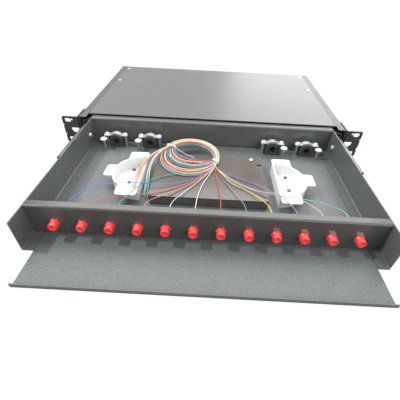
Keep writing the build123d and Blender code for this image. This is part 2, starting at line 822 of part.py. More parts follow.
def fibre_coil():
    """The outer shape of the twelve fibres' loose coil on the tray's lid."""
    ring = coil_edge(coil_outer_radii, fibre_d / 2) - coil_edge(coil_inner_radii, -fibre_d / 2)
    base = lid_top + fibre_gap
    coil = Pos(0, 0, base) * extrude(ring, amount=coil_rear_height)
    front, rear = -130.0, 10.0
    side = Polyline((front, coil_top(front)), (rear, coil_top(rear)), (rear, 40), (front, 40), close=True)
    coil -= along_x(make_face(side), -120, 60)
    for angle in tie_angles:
        low, high, bottom, top = tie_inside(angle)
        width = tie_width + 2 * fibre_gap
        waist = tie_block(angle, low - 4, high + 4, width, bottom - 4, top + 4)
        waist -= tie_block(angle, low + fibre_gap, high - fibre_gap, width, bottom + fibre_gap, top - fibre_gap)
        coil -= waist
    for x, y in tray_screw_places():
        coil -= rod_z(x, y, m3_screw[0] + 2 * fibre_gap, 0, lid_top + m3_screw[1] + fibre_gap)
    return coil


def tie_inside(angle):
    """The space inside a tie: its inner and outer radius, bottom and top."""
    inner, outer = coil_radii(angle)
    bottom = lid_top + fibre_gap + tie_thick
    return inner, outer, bottom, coil_top(polar(inner, angle)[1])


def tie_block(angle, r0, r1, width, z0, z1):
    """A block across the coil's band at an angle about the coil's centre."""
    place = Pos(coil_centre[0], coil_centre[1], 0) * Rot(0, 0, angle)
    return place * block(r0, r1, -width / 2, width / 2, z0, z1)


def coil_ties():
    """Straps round the coil's band."""
    solids = []
    for angle in tie_angles:
        low, high, bottom, top = tie_inside(angle)
        strap = tie_block(angle, low - tie_thick, high + tie_thick, tie_width, bottom - tie_thick, top + tie_thick)
        strap -= tie_block(angle, low, high, tie_width + 2, bottom, top)
        solids.append(strap)
    return solids


def smooth_tube(name, points, diameter):
    """A round tube along straight runs joined by tangent arcs, as large as the runs allow."""
    spots = [Vector(*p) for p in points]
    radii = []
    for before, here, after in zip(spots, spots[1:], spots[2:]):
        turn = (here - before).get_angle(after - here)
        shorter = min((here - before).length, (after - here).length)
        half_turn = Vector(1, 0, 0).rotate(Axis.Z, turn / 2)
        radii.append(0.45 * shorter * half_turn.X / half_turn.Y)
    path = FilletPolyline(*spots, radius=radii)
    tube = sweep(path.location_at(0) * Circle(diameter / 2), path=path)
    share = tube.volume / (Circle(diameter / 2).area * path.length)
    print(name, "length", round(path.length, 1), "smallest radius", round(min(radii), 1), "volume share",
          round(share, 3))
    return tube


def lead_route(i):
    """A fibre's whole route from its boot's tip to the coil."""
    slot, straight, middle = lead_routes[i]
    x = adapter_xs[i]
    route = [(x, boot_tip_y, adapter_z), (x, boot_tip_y + straight, adapter_z), *middle]
    if slot is not None:
        end_x = coil_join_x - slot_step * slot
        end_z = lid_top + 0.8 + slot_layer_height * (slot % slot_layers)
        route += [(end_x, coil_join_y - 10, end_z), (end_x, coil_join_y, end_z)]
    return route


def pigtail_leads():
    return [smooth_tube(f"lead {i + 1}", lead_route(i), fibre_d) for i in range(adapter_count)]


def pigtail_tails():
    return [smooth_tube(f"tail {i + 1}", route, tail_bundle_d) for i, route in enumerate(tail_routes)]


def case_grommets():
    ring = grommet(entry_hole_d, entry_bore_d, case_rear - gauge / 2)
    return [Pos(x, 0, entry_z) * ring for x in entry_xs]


def drawer_grommets():
    ring = grommet(small_hole_d, small_bore_d, rear_wall_y + gauge / 2)
    return [Pos(x, 0, floor_top + rubber_axis) * ring for x in clamp_xs]


os.makedirs("parts", exist_ok=True)

save("case_base", case_base())
save("case_cover", case_cover())
save("cover_screws", *cover_screws())
save("case_grommets", *case_grommets())
right_ear = rack_ear()
save("rack_ear_right", right_ear)
save("rack_ear_left", mirror(right_ear, about=Plane.YZ))
save("ear_screws", *[s for screw in ear_screws() for s in both_sides(screw)])
for name, member in (
    ("slide_outer", slide_outer()),
    ("slide_middle", slide_middle()),
    ("slide_inner", slide_inner()),
    ("ball_cage_outer", ball_cage_outer()),
    ("ball_cage_inner", ball_cage_inner()),
):
    save(f"{name}_right", member)
    save(f"{name}_left", mirror(member, about=Plane.YZ))
save("slide_spacers", *[s for spacer in slide_spacers() for s in both_sides(spacer)])
save("case_slide_screws", *[s for screw in case_slide_screws() for s in both_sides(screw)])
save("drawer_slide_screws", *[s for screw in drawer_slide_screws() for s in both_sides(screw)])
save("drawer_floor", drawer_floor())
right_side = drawer_side()
save("drawer_side_right", right_side)
save("drawer_side_left", mirror(right_side, about=Plane.YZ))
save("drawer_rear_wall", drawer_rear_wall())
save("drawer_grommets", *drawer_grommets())
save("adapter_panel", adapter_panel())
save("fc_adapters", *[Pos(x, 0, 0) * fc_adapter() for x in adapter_xs])
save("adapter_nuts", *[Pos(x, 0, 0) * adapter_nut() for x in adapter_xs])
save("pigtail_connectors", *[Pos(x, 0, 0) * pigtail_connector() for x in adapter_xs])
for i, x in enumerate(adapter_xs):
    save(f"dust_cap_{i + 1:02d}", Pos(x, 0, 0) * dust_cap())
save("splice_tray", splice_tray())
save("splice_tray_lid", splice_tray_lid())
save("tray_screws", *tray_screws())
right_spool = fibre_spool()
save("fibre_spool_right", right_spool)
save("fibre_spool_left", mirror(right_spool, about=Plane.YZ))
save("spool_screws", *[s for screw in spool_screws() for s in both_sides(screw)])
save("clamp_pillars", *clamp_pillars())
save("clamp_rubbers", *[clamp_rubber(x) for x in clamp_xs])
save("clamp_saddles", *[clamp_saddle(x) for x in clamp_xs])
save("clamp_screws", *clamp_screws())
save("strength_posts", *strength_posts())
save("post_caps", *post_caps())
save("fibre_coil", fibre_coil())
save("coil_ties", *coil_ties())
save("pigtail_leads", *pigtail_leads())
save("pigtail_tails", *pigtail_tails())
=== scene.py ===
from math import cos, pi, radians, sin

import bmesh
import bpy
from mathutils import Matrix, Vector


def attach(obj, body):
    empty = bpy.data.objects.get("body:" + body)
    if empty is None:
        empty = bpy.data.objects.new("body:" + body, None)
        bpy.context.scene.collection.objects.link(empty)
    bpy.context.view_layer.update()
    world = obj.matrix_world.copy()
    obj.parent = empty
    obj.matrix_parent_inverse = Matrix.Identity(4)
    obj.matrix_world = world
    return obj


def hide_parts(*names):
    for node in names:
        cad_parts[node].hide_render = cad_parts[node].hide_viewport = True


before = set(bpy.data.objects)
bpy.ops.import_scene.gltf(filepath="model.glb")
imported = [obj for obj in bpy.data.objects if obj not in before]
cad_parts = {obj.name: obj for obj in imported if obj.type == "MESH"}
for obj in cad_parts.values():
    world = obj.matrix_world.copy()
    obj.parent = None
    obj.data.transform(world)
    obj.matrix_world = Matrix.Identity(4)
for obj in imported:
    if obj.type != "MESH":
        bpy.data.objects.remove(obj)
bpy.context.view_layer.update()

MM = 0.001

# The case is a pan of folded steel sheet, 1.2 mm thick, with its top strips turned inwards.
# It is powder coated black with a fine orange-peel skin, and its bends catch the light.

mottle_span = (0.32, 0.68)  # the part of a noise pattern's range that carries the change
gloss_span = (0.3, 0.7)


def shader_of(made):
    """The shader of a node material."""
    return made.node_tree.nodes["Principled BSDF"]


def material(name, colour, rough, metallic=0.0):
    """A node material with a plain colour, an even roughness and a metal value to build on."""
    made = bpy.data.materials.new(name)
    made.use_nodes = True
    shader = shader_of(made)
    shader.inputs["Base Color"].default_value = (*colour, 1)
    shader.inputs["Roughness"].default_value = rough
    shader.inputs["Metallic"].default_value = metallic
    return made


def noise_on(made, scale, detail=3.0, stretch=(1, 1, 1)):
    """A noise pattern fixed to the piece, with features about 1/scale metres across."""
    nodes, links = made.node_tree.nodes, made.node_tree.links
    place = nodes.new("ShaderNodeTexCoord")
    turn = nodes.new("ShaderNodeMapping")
    turn.inputs["Scale"].default_value = stretch
    links.new(place.outputs["Object"], turn.inputs["Vector"])
    noise = nodes.new("ShaderNodeTexNoise")
    noise.inputs["Scale"].default_value = scale
    noise.inputs["Detail"].default_value = detail
    links.new(turn.outputs["Vector"], noise.inputs["Vector"])
    return noise.outputs["Fac"]


def mottle(made, low, high, scale, detail=3.0, stretch=(1, 1, 1)):
    """Uneven colour between two tones, which takes the place of the plain one."""
    nodes, links = made.node_tree.nodes, made.node_tree.links
    ramp = nodes.new("ShaderNodeValToRGB")
    for stop, place, tone in zip(ramp.color_ramp.elements, mottle_span, (low, high)):
        stop.position = place
        stop.color = (*tone, 1)
    links.new(noise_on(made, scale, detail, stretch), ramp.inputs["Fac"])
    links.new(ramp.outputs["Color"], shader_of(made).inputs["Base Color"])


def uneven_gloss(made, low, high, scale, stretch=(1, 1, 1)):
    """Roughness that wanders between two values, as a handled surface's does."""
    nodes, links = made.node_tree.nodes, made.node_tree.links
    spread = nodes.new("ShaderNodeMapRange")
    spread.inputs["To Min"].default_value = low
    spread.inputs["To Max"].default_value = high
    spread.inputs["From Min"].default_value = gloss_span[0]
    spread.inputs["From Max"].default_value = gloss_span[1]
    links.new(noise_on(made, scale, 4.0, stretch), spread.inputs["Value"])
    links.new(spread.outputs["Result"], shader_of(made).inputs["Roughness"])


def grain(made, scale, height, detail=2.0, stretch=(1, 1, 1), edge=0.0004):
    """A fine relief, height in metres, and edges that catch the light as if rounded."""
    nodes, links = made.node_tree.nodes, made.node_tree.links
    bump = nodes.new("ShaderNodeBump")
    rounded = nodes.new("ShaderNodeBevel")
    rounded.samples = 4
    rounded.inputs["Radius"].default_value = edge
    links.new(rounded.outputs["Normal"], bump.inputs["Normal"])
    bump.inputs["Strength"].default_value = 1.0
    bump.inputs["Distance"].default_value = height
    links.new(noise_on(made, scale, detail, stretch), bump.inputs["Height"])
    links.new(bump.outputs["Normal"], shader_of(made).inputs["Normal"])


def dress(made, *nodes):
    """Gives CAD nodes a material."""
    for name in nodes:
        node = bpy.data.objects[name]
        node.data.materials.clear()
        node.data.materials.append(made)


case_coat = material("case_coat", (0.045, 0.047, 0.047), 0.42)
mottle(case_coat, (0.040, 0.042, 0.042), (0.052, 0.054, 0.053), 60)
uneven_gloss(case_coat, 0.38, 0.46, 120)
grain(case_coat, 1300, 0.000008)
dress(case_coat, "case_base")

# The cover is one flat sheet of the same steel, let into the case's top strips.
# Its coat is smoother than the case's and shows long soft reflections.

# Its colour is the black coat lightened to grey, and the lightening is painted sheen from the
# lamps behind.
cover_coat_painted_sheen = material("cover_coat_painted_sheen", (0.085, 0.085, 0.09), 0.36)
mottle(cover_coat_painted_sheen, (0.073, 0.073, 0.077), (0.081, 0.081, 0.085), 30, 2.0)
uneven_gloss(cover_coat_painted_sheen, 0.35, 0.37, 45)
grain(cover_coat_painted_sheen, 1100, 0.00002)
dress(cover_coat_painted_sheen, "case_cover")

# The two rack ears are angle brackets pressed from 2 mm steel, screwed to the case's sides.
# Their black coat is darker and more matt than the case's.

ear_coat = material("ear_coat", (0.018, 0.02, 0.02), 0.5)
mottle(ear_coat, (0.015, 0.017, 0.017), (0.024, 0.026, 0.026), 60)
grain(ear_coat, 1500, 0.00001)
dress(ear_coat, "rack_ear_left", "rack_ear_right")

# Every screw is zinc-plated steel with a pan head and a cross recess pressed into it.
# The cover's four are countersunk and sit flush with it.

zinc = material("zinc_plate", (0.74, 0.75, 0.74), 0.34, 0.8)
mottle(zinc, (0.64, 0.65, 0.65), (0.82, 0.83, 0.81), 900, 2.0)
uneven_gloss(zinc, 0.26, 0.44, 700)

sides = (-1, 1)
axis_z = 21.0  # the height of the slides' and the adapters' centre lines
case_top = 43.8
ear_face_x, ear_screw_y = 217.0, 20.4
ear_screw_zs = (8.76, 21.9, 35.04)
case_side_x = 215.0
case_slide_screw_ys = (62.0, 172.0)
cover_screw_x = 196.0
cover_screw_ys = (190.0, 272.0)
# a head's radius and height, and the shank's radius
m4_pan = (3.6 * MM, 2.3 * MM, 2.0 * MM)
m3_pan = (2.8 * MM, 1.9 * MM, 1.5 * MM)
m3_washer_pan = (3.2 * MM, 2.4 * MM, 1.5 * MM)
m3_countersunk = (3.0 * MM, 0.0, 1.5 * MM)
head_facets, shank_facets = 24, 12
crown_levels = ((0.5, 0.0), (0.86, 0.13))  # shares of the head's height, and of its radius inwards
recess_arm, recess_half, recess_taper = 0.56, 0.13, 0.6  # shares of the head's radius
recess_inset, recess_depth, least_height = 0.02, 0.62, 0.5


def verts_in(made):
    """The corners among the things that an operator made."""
    return [item for item in made if isinstance(item, bmesh.types.BMVert)]


def edges_among(made, corners):
    """The edges among the things that an operator made whose ends are both in the corners."""
    return [item for item in made if isinstance(item, bmesh.types.BMEdge)
            and all(end in corners for end in item.verts)]


def cross_head(mesh, place, head_r, head_h, flush=False):
    """A screw's head with its cross recess, its seat on the place's z = 0 and its top upwards."""
    rim = bmesh.ops.create_circle(mesh, segments=head_facets, radius=head_r,
                                  cap_ends=False)["verts"]
    new = list(rim)
    top = 0.0 if flush else head_h
    outline = list(dict.fromkeys(edge for vert in rim for edge in vert.link_edges))
    for rise, inwards in () if flush else crown_levels:
        grown = bmesh.ops.extrude_edge_only(mesh, edges=outline)["geom"]
        ring = verts_in(grown)
        for vert in ring:
            vert.co = Vector((vert.co.x * (1 - inwards), vert.co.y * (1 - inwards), head_h * rise))
        outline = edges_among(grown, ring)
        new += ring
    arm, half = head_r * recess_arm, head_r * recess_half
    corners = [(arm, -half), (arm, half), (half, half), (half, arm), (-half, arm), (-half, half),
               (-arm, half), (-arm, -half), (-half, -half), (-half, -arm), (half, -arm),
               (half, -half)]
    lip = top - (0 if flush else head_h * recess_inset)
    cross = [mesh.verts.new((x, y, lip)) for x, y in corners]
    edges = [mesh.edges.new((a, b)) for a, b in zip(cross, cross[1:] + cross[:1])]
    new += cross
    bmesh.ops.bridge_loops(mesh, edges=outline + edges)
    sunk = bmesh.ops.extrude_edge_only(mesh, edges=edges)["geom"]
    deep = verts_in(sunk)
    floor_z = top - recess_depth * max(head_h, head_r * least_height)
    for vert in deep:
        vert.co = Vector((vert.co.x * recess_taper, vert.co.y * recess_taper, floor_z))
    new += deep
    bmesh.ops.contextual_create(mesh, geom=edges_among(sunk, deep))
    bmesh.ops.transform(mesh, matrix=place, verts=new)


def linked(name, data):
    """A new object at the origin of the scene."""
    made = bpy.data.objects.new(name, data)
    bpy.context.scene.collection.objects.link(made)
    return made


def finish_piece(mesh, name, made, body, nodes=(), smooth=None):
    """Turns a bmesh into a piece that rides on a body and stands for its CAD nodes."""
    data = bpy.data.meshes.new(name)
    mesh.to_mesh(data)
    mesh.free()
    if smooth:
        for face in data.polygons:
            face.use_smooth = True
        data.set_sharp_from_angle(angle=radians(smooth))
    data.materials.append(made)
    piece = linked(name, data)
    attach(piece, body)
    if nodes:
        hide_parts(*([nodes] if isinstance(nodes, str) else nodes))


def screw_set(name, node, body, places, head_r, head_h, shank_r, shank, made=zinc, flush=False):
    """A group of like screws, each at a place with its head towards the place's +z."""
    mesh = bmesh.new()
    for place in places:
        cross_head(mesh, place, head_r, head_h, flush)
        middle = place @ Matrix.Translation((0, 0, -shank / 2))
        bmesh.ops.create_cone(mesh, cap_ends=True, segments=shank_facets, radius1=shank_r,
                              radius2=shank_r, depth=shank, matrix=middle)
    bmesh.ops.recalc_face_normals(mesh, faces=mesh.faces)
    finish_piece(mesh, name, made, body, node)


def facing(direction, spot):
    """A place at a spot in millimetres, with its z along a direction."""
    turn = Vector((0, 0, 1)).rotation_difference(Vector(direction)).to_matrix().to_4x4()
    return Matrix.Translation(Vector(spot) * MM) @ turn


ear_places = [facing((s, 0, 0), (s * ear_face_x, ear_screw_y, z))
              for s in sides for z in ear_screw_zs]
screw_set("ear_screw_heads", "ear_screws", "case", ear_places, *m4_pan, 5.2 * MM)
side_places = [facing((s, 0, 0), (s * case_side_x, y, axis_z))
               for s in sides for y in case_slide_screw_ys]
screw_set("case_slide_screw_heads", "case_slide_screws", "case", side_places, *m4_pan, 7.6 * MM)
cover_places = [facing((0, 0, 1), (s * cover_screw_x, y, case_top))
                for s in sides for y in cover_screw_ys]
screw_set("cover_screw_heads", "cover_screws", "case", cover_places, *m3_countersunk, 2.3 * MM,
          flush=True)

# The slides are three C-shaped members rolled from bright zinc-plated strip, one inside the other.
# The outer one is fixed in the case, and the middle one runs out half as far as the drawer.
# Pressed steel cages hold the balls between them.

# The strips' colour is far darker than bright zinc: painted shade for the narrow gaps beside the
# drawer that they run in.
strip_steel_painted_shade = material("strip_steel_painted_shade", (0.1, 0.104, 0.108), 0.36, 1.0)
mottle(strip_steel_painted_shade, (0.10, 0.106, 0.112), (0.16, 0.168, 0.176), 25, 4.0, (6, 0.4, 6))
uneven_gloss(strip_steel_painted_shade, 0.26, 0.42, 40, (8, 0.5, 8))
grain(strip_steel_painted_shade, 900, 0.000006, 2.0, (1, 0.05, 1))
dress(strip_steel_painted_shade, "slide_outer_left", "slide_outer_right", "slide_middle_left",
      "slide_middle_right", "slide_inner_left", "slide_inner_right", "slide_spacers")

cage_steel = material("cage_steel", (0.45, 0.44, 0.4), 0.4, 1.0)
mottle(cage_steel, (0.38, 0.36, 0.32), (0.5, 0.48, 0.43), 300)
grain(cage_steel, 1200, 0.00001)
dress(cage_steel, "ball_cage_outer_left", "ball_cage_outer_right", "ball_cage_inner_left",
      "ball_cage_inner_right")

# The drawer's floor runs forward under the adapters as a shelf, and its front edge is turned up.
# Its coat is finely speckled and mirrors what stands on it only faintly.

# Its colour is the black coat lightened to grey, and the lightening is painted sheen from the
# lamps behind.
floor_coat_painted_sheen = material("floor_coat_painted_sheen", (0.085, 0.09, 0.09), 0.34)
mottle(floor_coat_painted_sheen, (0.082, 0.091, 0.094), (0.114, 0.125, 0.128), 420, 4.0)
uneven_gloss(floor_coat_painted_sheen, 0.37, 0.45, 70)
shader_of(floor_coat_painted_sheen).inputs["Specular IOR Level"].default_value = 0.34
grain(floor_coat_painted_sheen, 900, 0.00003)
dress(floor_coat_painted_sheen, "drawer_floor")

# The drawer's sides, rear wall and adapter panel are folded from the same sheet as the case.
# Each is fixed to the floor by a foot turned inwards, and the screws that hold the slides show
# inside the walls. The panel's coat is smoother and a little warmer than the walls'.

# The walls' colour is the black coat lightened to dark grey, and the lightening is painted fill
# light.
wall_coat_painted_fill = material("wall_coat_painted_fill", (0.075, 0.08, 0.076), 0.3)
mottle(wall_coat_painted_fill, (0.086, 0.094, 0.088), (0.092, 0.100, 0.094), 30)
uneven_gloss(wall_coat_painted_fill, 0.26, 0.285, 60)
grain(wall_coat_painted_fill, 1600, 0.000003)
dress(wall_coat_painted_fill, "drawer_side_left", "drawer_side_right", "drawer_rear_wall")

panel_coat = material("panel_coat", (0.06, 0.057, 0.055), 0.24)
mottle(panel_coat, (0.055, 0.053, 0.051), (0.064, 0.061, 0.059), 40)
uneven_gloss(panel_coat, 0.21, 0.25, 90)
grain(panel_coat, 1600, 0.000003)
shader_of(panel_coat).inputs["Specular IOR Level"].default_value = 0.42
dress(panel_coat, "adapter_panel")

wall_inner_x = 195.1
wall_screw_ys = (-14.0, -200.0)
wall_places = [facing((-s, 0, 0), (s * wall_inner_x, y, axis_z))
               for s in sides for y in wall_screw_ys]
screw_set("drawer_slide_screw_heads", "drawer_slide_screws", "drawer", wall_places, *m4_pan,
          2.4 * MM)

# The fibre adapters are nickel-plated brass: a threaded barrel through the panel and a collar
# behind it. A thin hexagonal nut on the front holds each one.

nickel = material("nickel_plate", (0.72, 0.7, 0.66), 0.24, 1.0)
mottle(nickel, (0.64, 0.62, 0.58), (0.78, 0.76, 0.72), 500)
uneven_gloss(nickel, 0.18, 0.34, 350)
dress(nickel, "fc_adapters", "adapter_nuts")

adapter_count, adapter_pitch = 12, 30.0
adapter_xs = [adapter_pitch * (i - (adapter_count - 1) / 2) for i in range(adapter_count)]
ridge_count, ridge_pitch, ridge_start_y, ridge_facets = 9, 0.7, -219.0, 20
ridge_section = ((-0.2, 3.98), (0, 4.2), (0.2, 3.98))  # along the barrel, and out from its axis

threads = bmesh.new()
for x in adapter_xs:
    for row in range(ridge_count):
        ridge = [threads.verts.new((0, along * MM, out * MM)) for along, out in ridge_section]
        edges = [threads.edges.new(pair) for pair in zip(ridge, ridge[1:])]
        bmesh.ops.spin(threads, geom=ridge + edges, cent=(0, 0, 0), axis=(0, 1, 0),
                       angle=2 * pi, steps=ridge_facets, use_merge=True)
        fresh = [vert for vert in threads.verts if not vert.tag]
        y = ridge_start_y - ridge_pitch * row
        bmesh.ops.translate(threads, verts=fresh, vec=Vector((x, y, axis_z)) * MM)
        for vert in fresh:
            vert.tag = True
bmesh.ops.recalc_face_normals(threads, faces=threads.faces)
finish_piece(threads, "adapter_threads", nickel, "drawer")

# The plugs' coupling nuts and bodies are the same plated brass behind the panel, with a soft
# black boot that tapers onto the fibre. One finish covers both and changes where the boot begins.

boot_start_y = -197.6
plug_finish = material("plug_finish", (0.72, 0.7, 0.66), 0.3, 1.0)
plug_nodes, plug_links = plug_finish.node_tree.nodes, plug_finish.node_tree.links
plug_place = plug_nodes.new("ShaderNodeTexCoord")
plug_axes = plug_nodes.new("ShaderNodeSeparateXYZ")
in_boot = plug_nodes.new("ShaderNodeMath")
in_boot.operation = "GREATER_THAN"
in_boot.inputs[1].default_value = boot_start_y * MM
bare_metal = plug_nodes.new("ShaderNodeMath")
bare_metal.operation = "SUBTRACT"
bare_metal.inputs[0].default_value = 1.0
plug_tones = plug_nodes.new("ShaderNodeValToRGB")
plug_tones.color_ramp.elements[0].color = (0.7, 0.68, 0.64, 1)
plug_tones.color_ramp.elements[1].color = (0.03, 0.03, 0.031, 1)
plug_shader = shader_of(plug_finish)
plug_links.new(plug_place.outputs["Object"], plug_axes.inputs["Vector"])
plug_links.new(plug_axes.outputs["Y"], in_boot.inputs[0])
plug_links.new(in_boot.outputs["Value"], plug_tones.inputs["Fac"])
plug_links.new(in_boot.outputs["Value"], bare_metal.inputs[1])
plug_links.new(plug_tones.outputs["Color"], plug_shader.inputs["Base Color"])
plug_links.new(bare_metal.outputs["Value"], plug_shader.inputs["Metallic"])
uneven_gloss(plug_finish, 0.24, 0.4, 350)
dress(plug_finish, "pigtail_connectors")

# Each dust cap is a soft red moulding that pushes over an adapter's barrel.
# Its skin is a little glossy and shows faint flow marks.

cap_red = material("cap_red", (0.72, 0.03, 0.03), 0.3)
mottle(cap_red, (0.70, 0.028, 0.03), (0.84, 0.052, 0.05), 160)
uneven_gloss(cap_red, 0.26, 0.36, 220)
grain(cap_red, 500, 0.00001)
shader_of(cap_red).inputs["Coat Weight"].default_value = 0.5
shader_of(cap_red).inputs["Coat Roughness"].default_value = 0.28

cap_rear_y, cap_facets, weld_reach = -218.3, 48, 0.00001
# radius and depth from the open end: skirt, tapered body, rounded rim, recess, then the bore
cap_profile = (
    (4.3, 0), (5.1, 0), (5.28, 0.2), (5.28, 1.3), (5.14, 1.55),
    (5.02, 7.7), (4.93, 8.3), (4.7, 8.72), (4.35, 8.9),
    (3.5, 8.9), (3.2, 8.8), (3.05, 8.6), (2.9, 7.95), (1.4, 7.9), (1.2, 7.75), (0.0, 7.7),
    (0.0, 7.25), (3.9, 7.25), (4.3, 7.0),
)
for i, x in enumerate(adapter_xs):
    cap = bmesh.new()
    line = [cap.verts.new(Vector((x, cap_rear_y - depth, axis_z + r)) * MM)
            for r, depth in cap_profile]
    outline = [cap.edges.new(pair) for pair in zip(line, line[1:] + line[:1])]
    bmesh.ops.spin(cap, geom=line + outline, cent=Vector((x, 0, axis_z)) * MM, axis=(0, 1, 0),
                   angle=2 * pi, steps=cap_facets, use_merge=True)
    bmesh.ops.remove_doubles(cap, verts=cap.verts, dist=weld_reach)
    bmesh.ops.recalc_face_normals(cap, faces=cap.faces)
    node = f"dust_cap_{i + 1:02d}"
    finish_piece(cap, f"{node}_moulded", cap_red, node, smooth=35, nodes=node)

# The splice tray is a black moulding with a smoked lid, screwed down at its rear corners.
# The lid is glossy and brown where light comes through it.

# The moulding's colour is black lightened to dark grey, and the lightening is painted fill light.
tray_black_painted_fill = material("tray_black_painted_fill", (0.075, 0.073, 0.07), 0.35)
mottle(tray_black_painted_fill, (0.082, 0.080, 0.076), (0.105, 0.102, 0.098), 90)
grain(tray_black_painted_fill, 900, 0.00002)
dress(tray_black_painted_fill, "splice_tray")

smoked = material("smoked_lid", (0.058, 0.041, 0.031), 0.16)
mottle(smoked, (0.044, 0.034, 0.026), (0.062, 0.048, 0.037), 14)
uneven_gloss(smoked, 0.12, 0.22, 30)
shader_of(smoked).inputs["Coat Weight"].default_value = 0.1
dress(smoked, "splice_tray_lid")

lid_top = 16.0
lid_screw_x, lid_screw_y = 61.0, -57.5
lid_places = [facing((0, 0, 1), (s * lid_screw_x, lid_screw_y, lid_top)) for s in sides]
screw_set("tray_screw_heads", "tray_screws", "drawer", lid_places, *m3_pan, 9.5 * MM)

# The two spools are white mouldings, half-round dishes with tongues at the rim that keep the
# fibre down. Two screws hold each one through its floor, and their heads are given a dark tone.

white_moulding = material("white_moulding", (0.56, 0.575, 0.55), 0.38)
mottle(white_moulding, (0.65, 0.665, 0.64), (0.71, 0.72, 0.70), 45)
grain(white_moulding, 800, 0.000015)
shader_of(white_moulding).inputs["Subsurface Weight"].default_value = 0.05
dress(white_moulding, "fibre_spool_left", "fibre_spool_right", "post_caps")

# The spool screws' heads get this dark tone so that they show as dark marks on the white floor.
darkened_screw_tone = material("darkened_screw_tone", (0.14, 0.14, 0.145), 0.38, 0.9)
mottle(darkened_screw_tone, (0.11, 0.11, 0.115), (0.18, 0.18, 0.185), 900, 2.0)
dish_floor_z, dish_screw_x = 5.2, 110.5
dish_screw_ys = (-84.5, -115.5)
dish_places = [facing((0, 0, 1), (s * dish_screw_x, y, dish_floor_z))
               for s in sides for y in dish_screw_ys]
screw_set("spool_screw_heads", "spool_screws", "drawer", dish_places, *m3_pan, 3.6 * MM, darkened_screw_tone)

# A cable clamp is a rubber block under a plated strap, drawn down on two turned pillars by screws.
# Beside each stands a post for the cable's strength member.

dress(zinc, "clamp_saddles")
turned_bar = material("turned_bar", (0.46, 0.47, 0.46), 0.3, 0.9)
mottle(turned_bar, (0.40, 0.41, 0.41), (0.52, 0.53, 0.52), 200, 2.0, (1, 1, 6))
uneven_gloss(turned_bar, 0.24, 0.36, 400)
dress(turned_bar, "clamp_pillars", "strength_posts")
rubber = material("clamp_rubber", (0.045, 0.046, 0.046), 0.55)
mottle(rubber, (0.038, 0.039, 0.039), (0.055, 0.056, 0.056), 200)
grain(rubber, 1100, 0.00004)
dress(rubber, "clamp_rubbers", "case_grommets", "drawer_grommets")

clamp_xs = (-154.5, -99.3, 99.3, 154.5)
strap_half, strap_y, strap_top = 14.45, -8.0, 22.0
strap_places = [facing((0, 0, 1), (x + s * strap_half, strap_y, strap_top))
                for x in clamp_xs for s in sides]
screw_set("clamp_screw_heads", "clamp_screws", "drawer", strap_places, *m3_washer_pan, 8.5 * MM)

# Twelve tight-buffered fibres, 0.9 mm thick, leave the plugs' boots and meet at a tie.
# They make two and a half loose turns together on the tray's lid, and their bare ends leave the
# second tie in a flat band, half of them into the left spool and half down beside it.

# each fibre's colour, place in the coil, straight run out of the boot, and way to the coil
lead_routes = (
    ("blue", 10, 8.0, (
        (-158, -163, 21), (-144, -149, 21), (-120, -140, 21), (-98, -137, 21.3),
        (-76, -136, 20.2), (-50, -132.5, 18), (-24.3, -119.4, 17.5), (-6, -101.7, 17.7))),
    ("orange", 9, 6.5, (
        (-130, -170.5, 19.3), (-117, -164, 16.4), (-95, -158, 16.4), (-75, -153.5, 17.4),
        (-58, -146, 17.4), (-40, -135, 17.5), (-20.9, -121.8, 17.5), (-4.8, -102.3, 17.6))),
    ("green", 11, 6.0, (
        (-102.8, -171, 20.8), (-99.3, -161.5, 20.4), (-95.2, -152, 20.2), (-90.6, -142.5, 20.1),
        (-84.5, -132, 19), (-74, -121.5, 17.9), (-61, -112.5, 17.5), (-50, -108, 17.4),
        (-40, -107, 17.4))),
    ("salmon", 8, 6.5, (
        (-69.5, -169, 20.6), (-57, -158, 19), (-39, -142.5, 17.8), (-18.9, -123.1, 17.5),
        (-3.7, -102.8, 17.2))),
    ("ivory", 7, 7.0, (
        (-41, -166, 20.4), (-31, -147, 18.4), (-16.2, -124.6, 17.5), (-2.5, -103.3, 18.4))),
    ("white", 6, 8.0, (
        (-14.3, -162, 20.2), (-12.3, -146, 18.4), (-9, -127.6, 17.5), (0, -104.1, 18.1))),
    ("red", 5, 8.0, (
        (15.3, -162, 20.2), (14, -146, 18.4), (11.7, -129.7, 17.5), (8.7, -104.9, 17.6))),
    ("grey", 4, 7.0, (
        (42, -164, 20.4), (35, -146.5, 18.4), (24.4, -126.7, 17.5), (13.8, -103.9, 17.2))),
    ("yellow", 3, 6.5, (
        (71.5, -165.5, 20.3), (62, -149.5, 18.9), (47, -134.5, 17.7), (30, -124.1, 17.5),
        (16.7, -102.8, 18.4))),
    ("violet", 0, 6.5, (
        (103, -171, 20.8), (98.5, -160.5, 20.3), (92.3, -149.5, 20.05), (85.5, -142.5, 19.3),
        (78, -135, 18.3), (64, -122, 17.6), (40, -109.5, 17.5), (21.9, -99.7, 17.2))),
    ("pink", 2, 6.5, (
        (130, -171, 21.2), (118, -158.5, 22), (108, -151.5, 22.2), (97, -147.5, 22.2),
        (84, -145.3, 21.7), (73, -142.5, 20.5), (62, -138.9, 18.7), (35, -123.5, 17.7),
        (18.2, -102.1, 18.1))),
    ("aqua", 1, 7.0, (
        (159.5, -170, 21), (149, -163.5, 21.1), (135, -157.5, 21.1), (117, -153, 21.1),
        (100, -150.5, 21.1), (86, -147.5, 20.6), (73, -143, 19.2), (62, -136.8, 17.6),
        (38, -121.2, 17.5), (19.6, -101.3, 17.6))),
)
fibre_tints = {
    "blue": (0.05, 0.22, 0.60), "orange": (0.72, 0.13, 0.03), "green": (0.02, 0.36, 0.22),
    "salmon": (0.62, 0.24, 0.18), "ivory": (0.62, 0.57, 0.50), "white": (0.74, 0.74, 0.72),
    "red": (0.68, 0.05, 0.04), "grey": (0.24, 0.24, 0.25), "yellow": (0.76, 0.54, 0.05),
    "violet": (0.30, 0.16, 0.42), "pink": (0.70, 0.38, 0.48), "aqua": (0.16, 0.54, 0.46),
}
fibre_r = 0.45
boot_end_y = -184.0
shade_share = 0.86

